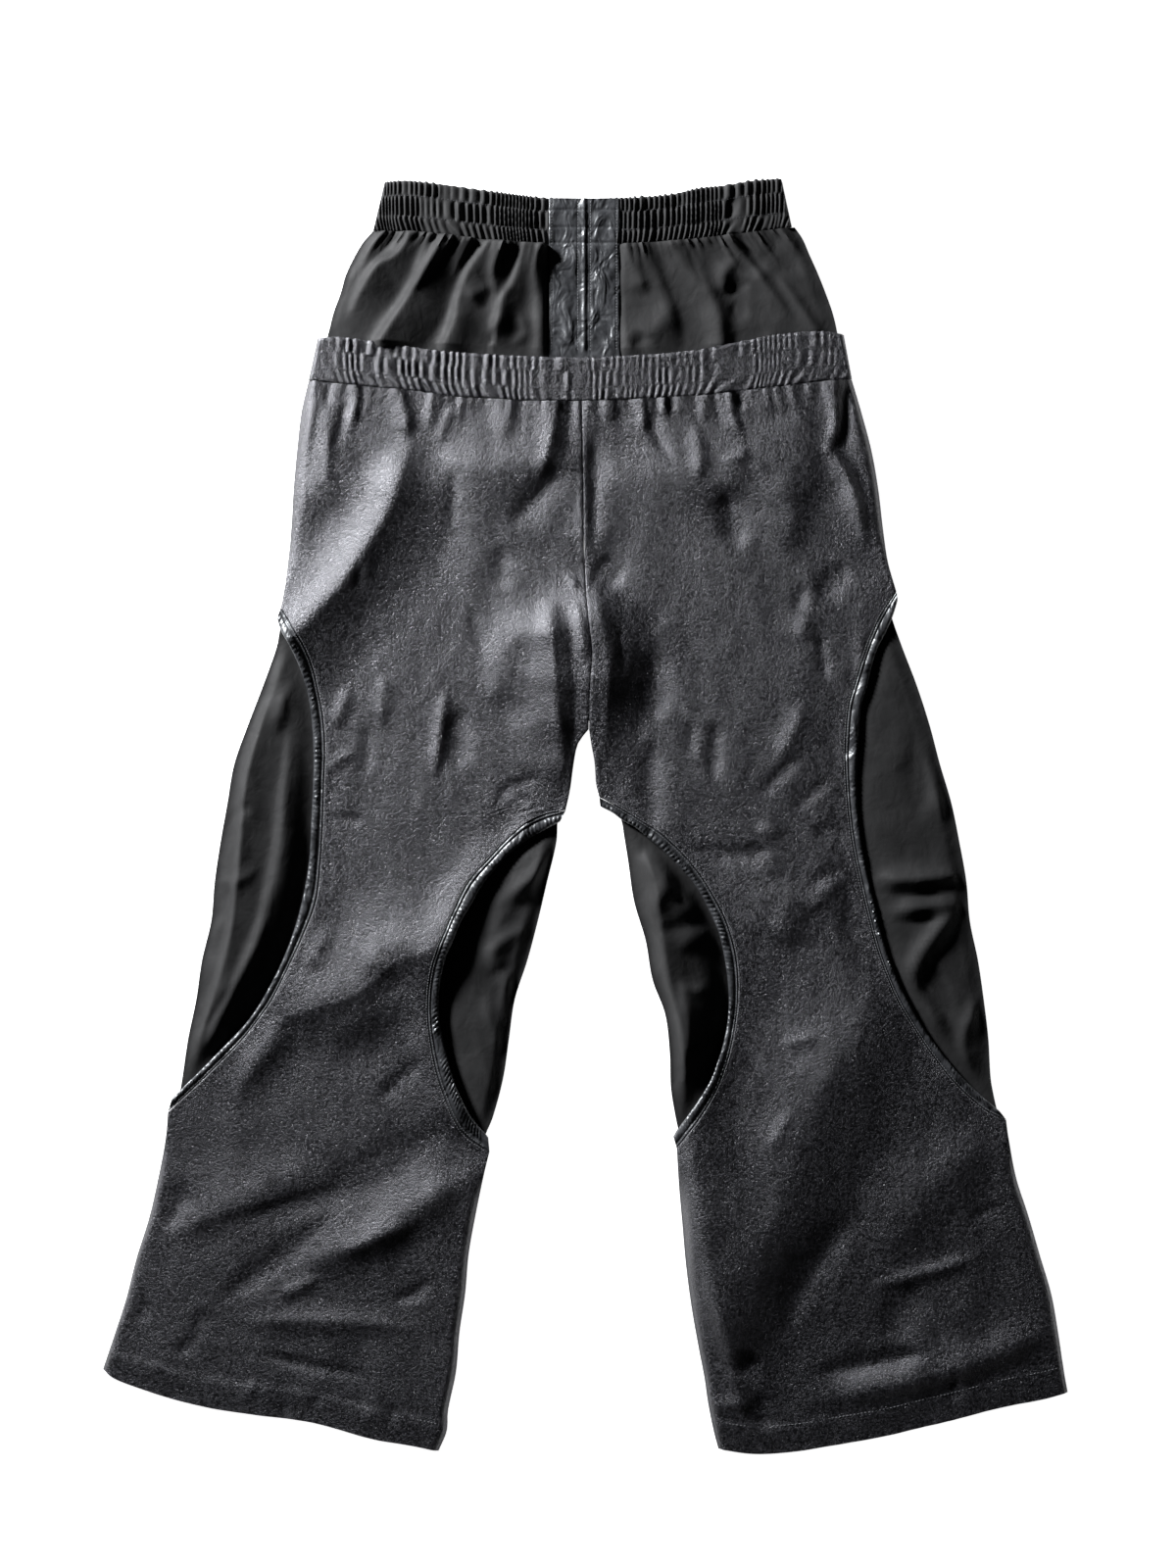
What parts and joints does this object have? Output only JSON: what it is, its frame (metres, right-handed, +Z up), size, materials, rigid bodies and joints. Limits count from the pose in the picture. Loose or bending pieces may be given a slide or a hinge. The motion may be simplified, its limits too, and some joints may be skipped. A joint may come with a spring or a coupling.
{
  "type": "track pants",
  "caption": "Black track pants laid flat: plain inner pair with a gathered waistband, coated outer pair with crescent cut-outs and wide legs.",
  "frame": {"origin": "centre of the bounding box's bottom, on the surface the garment lies on", "axes": "+Z up off the surface, +Y along the legs towards the waist, +X to the viewer's right as seen from above"},
  "size_m": [0.8358, 1.1038, 0.0158],
  "materials": {
    "coated_cloth": "black cotton twill with a waxed coating, low bluish sheen",
    "inner_cloth": "matte black plain-weave cloth",
    "leather": "thin black leather, semi-gloss and creased"
  },
  "bodies": {
    "root": {"inner_waistband": "inner_cloth", "inner_back_left": "inner_cloth", "inner_back_right": "inner_cloth", "inner_front_left": "inner_cloth", "inner_front_right": "inner_cloth", "centre_panel": "leather", "outer_waistband": "coated_cloth", "outer_back_left": "coated_cloth", "outer_back_right": "coated_cloth", "outer_front_left": "coated_cloth", "outer_front_right": "coated_cloth", "strip_left_leg_left_back": "leather", "strip_left_leg_left_front": "leather", "strip_left_leg_right_back": "leather", "strip_left_leg_right_front": "leather", "strip_right_leg_left_back": "leather", "strip_right_leg_left_front": "leather", "strip_right_leg_right_back": "leather", "strip_right_leg_right_front": "leather"}
  },
  "joints": []
}
